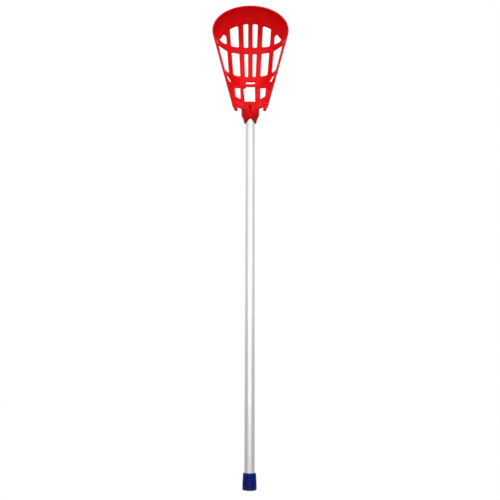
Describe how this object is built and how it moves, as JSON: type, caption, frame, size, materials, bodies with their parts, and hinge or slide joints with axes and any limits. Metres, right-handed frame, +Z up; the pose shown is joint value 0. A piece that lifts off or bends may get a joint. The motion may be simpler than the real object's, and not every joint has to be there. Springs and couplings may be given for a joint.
{
  "type": "lacrosse stick",
  "caption": "Lacrosse stick with a one-piece moulded head, whose ribbed basket opens forward, pushed onto a straight aluminium tube with a rubber cap on its foot.",
  "frame": {"origin": "centre of the end cap's flat base, on the shaft's axis", "axes": "+Z up the shaft towards the head's lip, +X to the right as the open side of the basket is faced, +Y to the rear, so the basket opens towards -Y"},
  "size_m": [0.1664, 0.0595, 0.9999],
  "materials": {
    "head_plastic": "glossy injection-moulded red polyethylene",
    "shaft_aluminium": "satin anodised drawn tube, plain silver",
    "cap_rubber": "moulded navy blue rubber, slight sheen",
    "washer_steel": "plain steel disc, hidden in the cap",
    "screw_steel": "zinc-plated steel"
  },
  "bodies": {
    "root": {"head": "head_plastic", "shaft": "shaft_aluminium", "end_cap": "cap_rubber", "cap_washer": "washer_steel", "head_screw": "screw_steel"}
  },
  "joints": []
}
